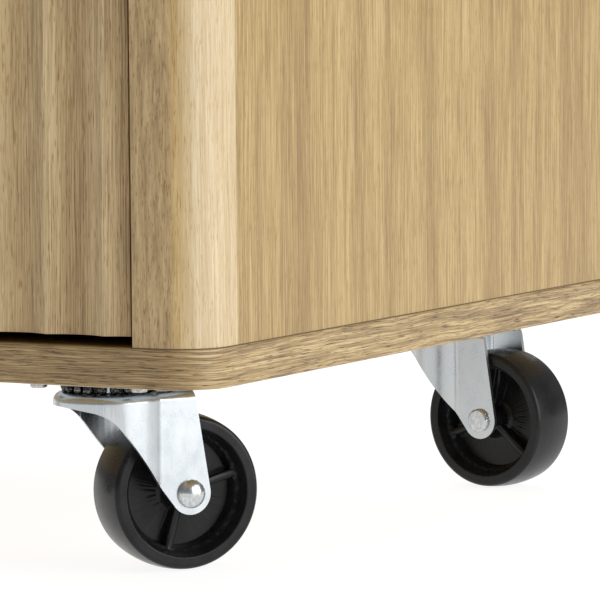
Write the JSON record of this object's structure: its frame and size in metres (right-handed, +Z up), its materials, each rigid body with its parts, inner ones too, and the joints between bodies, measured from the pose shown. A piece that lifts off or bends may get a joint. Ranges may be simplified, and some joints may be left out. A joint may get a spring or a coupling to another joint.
{
  "type": "rolling pedestal cabinet",
  "caption": "Oak pedestal cabinet on swivel casters, with fluted drawers on ball-bearing runners between rounded corner posts.",
  "frame": {"origin": "on the floor, under the middle of the cabinet's footprint", "axes": "+Z up, -Y towards the drawer fronts, +X towards the cabinet's right side as seen from the front"},
  "size_m": [0.517, 0.478, 0.6464],
  "materials": {
    "oak_boards": "oak veneer on the boards' faces and a banded oak edge, satin lacquer",
    "oak_fronts": "oak, fluted vertically, satin lacquer",
    "oak_posts": "solid oak, rounded corner, satin lacquer",
    "oak_panels": "oak veneer with vertical grain, satin lacquer",
    "drawer_box_board": "pale birch plywood, lacquered",
    "batten_wood": "planed softwood",
    "dowel_beech": "beech dowel",
    "zinc_steel": "pressed steel, bright zinc plated",
    "rivet_steel": "cold-headed steel, bright zinc plated",
    "runner_steel": "rolled steel, zinc plated",
    "screw_steel": "zinc plated screw",
    "bearing_steel": "polished bearing steel, lightly greased",
    "wheel_plastic": "black polypropylene, moulded, semi-gloss"
  },
  "bodies": {
    "cabinet": {"base_board": "oak_boards", "top_board": "oak_boards", "corner_post_left": "oak_posts", "corner_post_right": "oak_posts", "side_panel_left": "oak_panels", "side_panel_right": "oak_panels", "back_panel": "oak_panels", "runner_battens": "batten_wood", "runner_cabinet_members": "runner_steel", "runner_screws": "screw_steel", "carcass_screws": "screw_steel", "carcass_dowels": "dowel_beech", "caster_kingpins": "rivet_steel", "caster_bearing_balls": "bearing_steel", "caster_screws": "screw_steel", "caster_front_right_plate": "zinc_steel", "caster_rear_right_plate": "zinc_steel", "caster_front_left_plate": "zinc_steel", "caster_rear_left_plate": "zinc_steel"},
    "fork_front_right": {"caster_front_right_fork": "zinc_steel", "caster_front_right_axle_rivet": "rivet_steel"},
    "wheel_front_right": {"caster_front_right_wheel": "wheel_plastic"},
    "fork_rear_right": {"caster_rear_right_fork": "zinc_steel", "caster_rear_right_axle_rivet": "rivet_steel"},
    "wheel_rear_right": {"caster_rear_right_wheel": "wheel_plastic"},
    "fork_front_left": {"caster_front_left_fork": "zinc_steel", "caster_front_left_axle_rivet": "rivet_steel"},
    "wheel_front_left": {"caster_front_left_wheel": "wheel_plastic"},
    "fork_rear_left": {"caster_rear_left_fork": "zinc_steel", "caster_rear_left_axle_rivet": "rivet_steel"},
    "wheel_rear_left": {"caster_rear_left_wheel": "wheel_plastic"},
    "file_drawer": {"file_drawer_front": "oak_fronts", "file_drawer_box_side_right": "drawer_box_board", "file_drawer_box_side_left": "drawer_box_board", "file_drawer_box_front": "drawer_box_board", "file_drawer_box_back": "drawer_box_board", "file_drawer_box_bottom": "drawer_box_board", "file_drawer_runner_members": "runner_steel", "file_drawer_screws": "screw_steel"},
    "file_drawer_cages": {"file_drawer_ball_cages": "bearing_steel"},
    "middle_drawer": {"middle_drawer_front": "oak_fronts", "middle_drawer_box_side_right": "drawer_box_board", "middle_drawer_box_side_left": "drawer_box_board", "middle_drawer_box_front": "drawer_box_board", "middle_drawer_box_back": "drawer_box_board", "middle_drawer_box_bottom": "drawer_box_board", "middle_drawer_runner_members": "runner_steel", "middle_drawer_screws": "screw_steel"},
    "middle_drawer_cages": {"middle_drawer_ball_cages": "bearing_steel"},
    "top_drawer": {"top_drawer_front": "oak_fronts", "top_drawer_box_side_right": "drawer_box_board", "top_drawer_box_side_left": "drawer_box_board", "top_drawer_box_front": "drawer_box_board", "top_drawer_box_back": "drawer_box_board", "top_drawer_box_bottom": "drawer_box_board", "top_drawer_runner_members": "runner_steel", "top_drawer_screws": "screw_steel"},
    "top_drawer_cages": {"top_drawer_ball_cages": "bearing_steel"}
  },
  "joints": [
    {"name": "swivel_front_right", "type": "hinge", "parent": "cabinet", "child": "fork_front_right", "pos_m": [0.1785, -0.191, 0.0962], "axis": [0, 0, 1], "continuous": true},
    {"name": "roll_front_right", "type": "hinge", "parent": "fork_front_right", "child": "wheel_front_right", "pos_m": [0.19956, -0.16355, 0.0388], "axis": [-0.7934, 0.6088, 0], "continuous": true},
    {"name": "swivel_rear_right", "type": "hinge", "parent": "cabinet", "child": "fork_rear_right", "pos_m": [0.1785, 0.191, 0.0962], "axis": [0, 0, 1], "continuous": true},
    {"name": "roll_rear_right", "type": "hinge", "parent": "fork_rear_right", "child": "wheel_rear_right", "pos_m": [0.21263, 0.18529, 0.0388], "axis": [0.165, 0.9863, 0], "continuous": true},
    {"name": "swivel_front_left", "type": "hinge", "parent": "cabinet", "child": "fork_front_left", "pos_m": [-0.1785, -0.191, 0.0962], "axis": [0, 0, 1], "continuous": true},
    {"name": "roll_front_left", "type": "hinge", "parent": "fork_front_left", "child": "wheel_front_left", "pos_m": [-0.16443, -0.15939, 0.0388], "axis": [-0.9135, 0.4067, 0], "continuous": true},
    {"name": "swivel_rear_left", "type": "hinge", "parent": "cabinet", "child": "fork_rear_left", "pos_m": [-0.1785, 0.191, 0.0962], "axis": [0, 0, 1], "continuous": true},
    {"name": "roll_rear_left", "type": "hinge", "parent": "fork_rear_left", "child": "wheel_rear_left", "pos_m": [-0.21276, 0.19581, 0.0388], "axis": [-0.1392, -0.9903, 0], "continuous": true},
    {"name": "file_drawer_slide", "type": "slide", "parent": "cabinet", "child": "file_drawer", "axis": [0, -1, 0], "range_m": [0, 0.3]},
    {"name": "file_drawer_cage_slide", "type": "slide", "parent": "cabinet", "child": "file_drawer_cages", "axis": [0, -1, 0], "range_m": [0, 0.15]},
    {"name": "middle_drawer_slide", "type": "slide", "parent": "cabinet", "child": "middle_drawer", "axis": [0, -1, 0], "range_m": [0, 0.3]},
    {"name": "middle_drawer_cage_slide", "type": "slide", "parent": "cabinet", "child": "middle_drawer_cages", "axis": [0, -1, 0], "range_m": [0, 0.15]},
    {"name": "top_drawer_slide", "type": "slide", "parent": "cabinet", "child": "top_drawer", "axis": [0, -1, 0], "range_m": [0, 0.3]},
    {"name": "top_drawer_cage_slide", "type": "slide", "parent": "cabinet", "child": "top_drawer_cages", "axis": [0, -1, 0], "range_m": [0, 0.15]}
  ],
  "couplings": [
    {"joint": "file_drawer_cage_slide", "follows": "file_drawer_slide", "ratio": 0.5},
    {"joint": "middle_drawer_cage_slide", "follows": "middle_drawer_slide", "ratio": 0.5},
    {"joint": "top_drawer_cage_slide", "follows": "top_drawer_slide", "ratio": 0.5}
  ]
}
